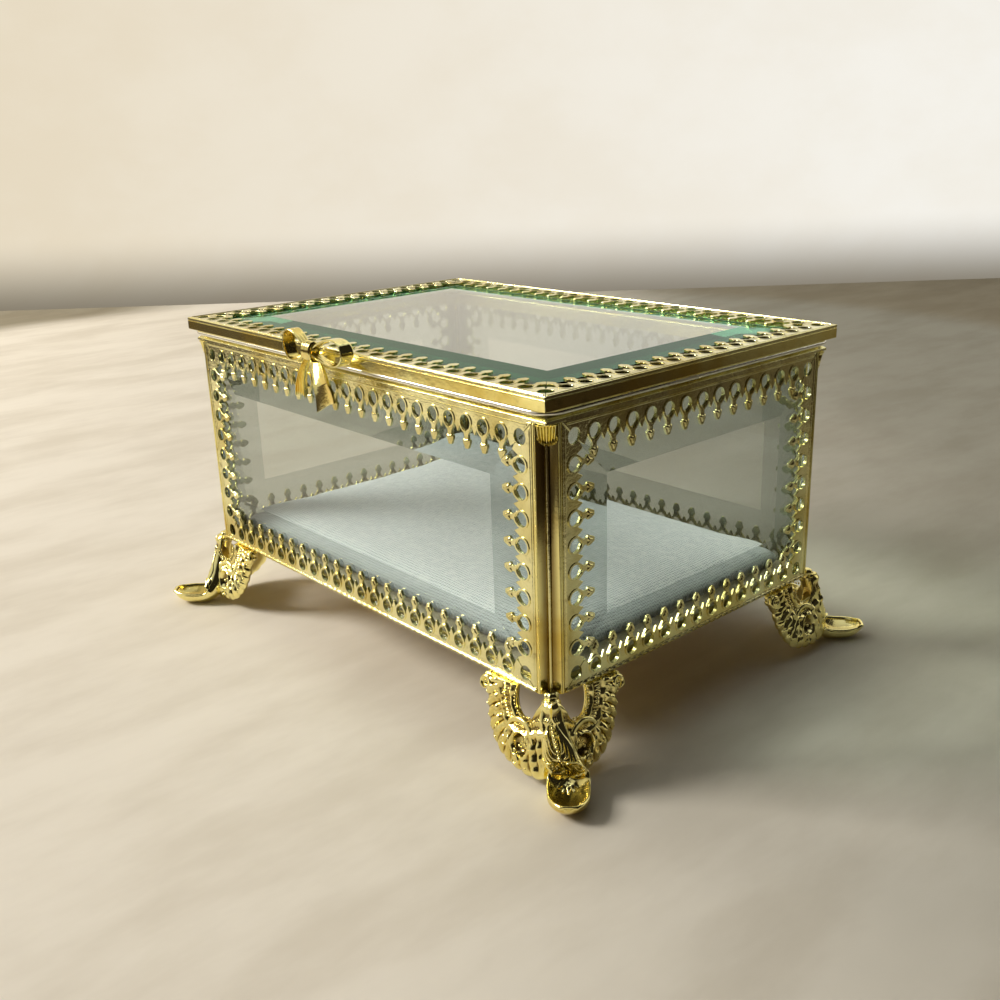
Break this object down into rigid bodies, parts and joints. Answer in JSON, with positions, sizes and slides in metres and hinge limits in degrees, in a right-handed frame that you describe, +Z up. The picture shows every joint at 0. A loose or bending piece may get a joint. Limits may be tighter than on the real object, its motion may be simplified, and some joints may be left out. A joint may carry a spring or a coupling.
{
  "type": "glass casket box",
  "caption": "gilt-framed casket with bevelled glass panes, pierced gallery strips, scrolled feet, a padded base and a hinged glass lid with a bow",
  "frame": {"origin": "the middle of the footprint on the table", "axes": "+X along the front to the right, -Y out of the front with the bow, +Z up"},
  "size_m": [0.1596, 0.1156, 0.0865],
  "materials": {
    "gilt": "polished gilding",
    "gallery": "bright gilding",
    "cast_trim": "bright gilding",
    "lip": "pale gilding",
    "pin": "plain",
    "pane": "clear, bevelled",
    "lid_pane": "clear, bevelled",
    "pad": "pale linen weave",
    "board": "plain"
  },
  "bodies": {
    "casket": {"base_plate": "gilt", "base_board": "board", "base_pad": "pad", "front_pane": "pane", "right_pane": "pane", "back_pane": "pane", "left_pane": "pane", "post_front_right": "gilt", "post_back_right": "gilt", "post_back_left": "gilt", "post_front_left": "gilt", "cap_front_right": "cast_trim", "cap_back_right": "cast_trim", "cap_back_left": "cast_trim", "cap_front_left": "cast_trim", "foot_front_right": "gilt", "foot_back_right": "gilt", "foot_back_left": "gilt", "foot_front_left": "gilt", "front_top_rail": "gilt", "right_top_rail": "gilt", "back_top_rail": "gilt", "left_top_rail": "gilt", "front_bottom_rail": "gilt", "right_bottom_rail": "gilt", "back_bottom_rail": "gilt", "left_bottom_rail": "gilt", "front_right_strip": "gallery", "front_left_strip": "gallery", "right_back_strip": "gallery", "right_front_strip": "gallery", "back_left_strip": "gallery", "back_right_strip": "gallery", "left_front_strip": "gallery", "left_back_strip": "gallery", "hinge_leaf_body_left": "gilt", "hinge_leaf_body_right": "gilt", "hinge_pin_left": "pin", "hinge_pin_right": "pin"},
    "lid": {"lid_front_rail": "gilt", "lid_right_rail": "gilt", "lid_back_rail": "gilt", "lid_left_rail": "gilt", "lid_front_strip": "gallery", "lid_right_strip": "gallery", "lid_back_strip": "gallery", "lid_left_strip": "gallery", "lid_lip": "lip", "lid_glass": "lid_pane", "hinge_leaf_lid_left": "gilt", "hinge_leaf_lid_right": "gilt", "bow_left_loop": "cast_trim", "bow_right_loop": "cast_trim", "bow_knot": "cast_trim", "bow_left_tail": "cast_trim", "bow_right_tail": "cast_trim"}
  },
  "joints": [
    {"name": "lid_hinge", "type": "hinge", "parent": "casket", "child": "lid", "pos_m": [0, 0.0485, 0.07655], "axis": [-1, 0, 0], "range_deg": [0, 102]}
  ]
}
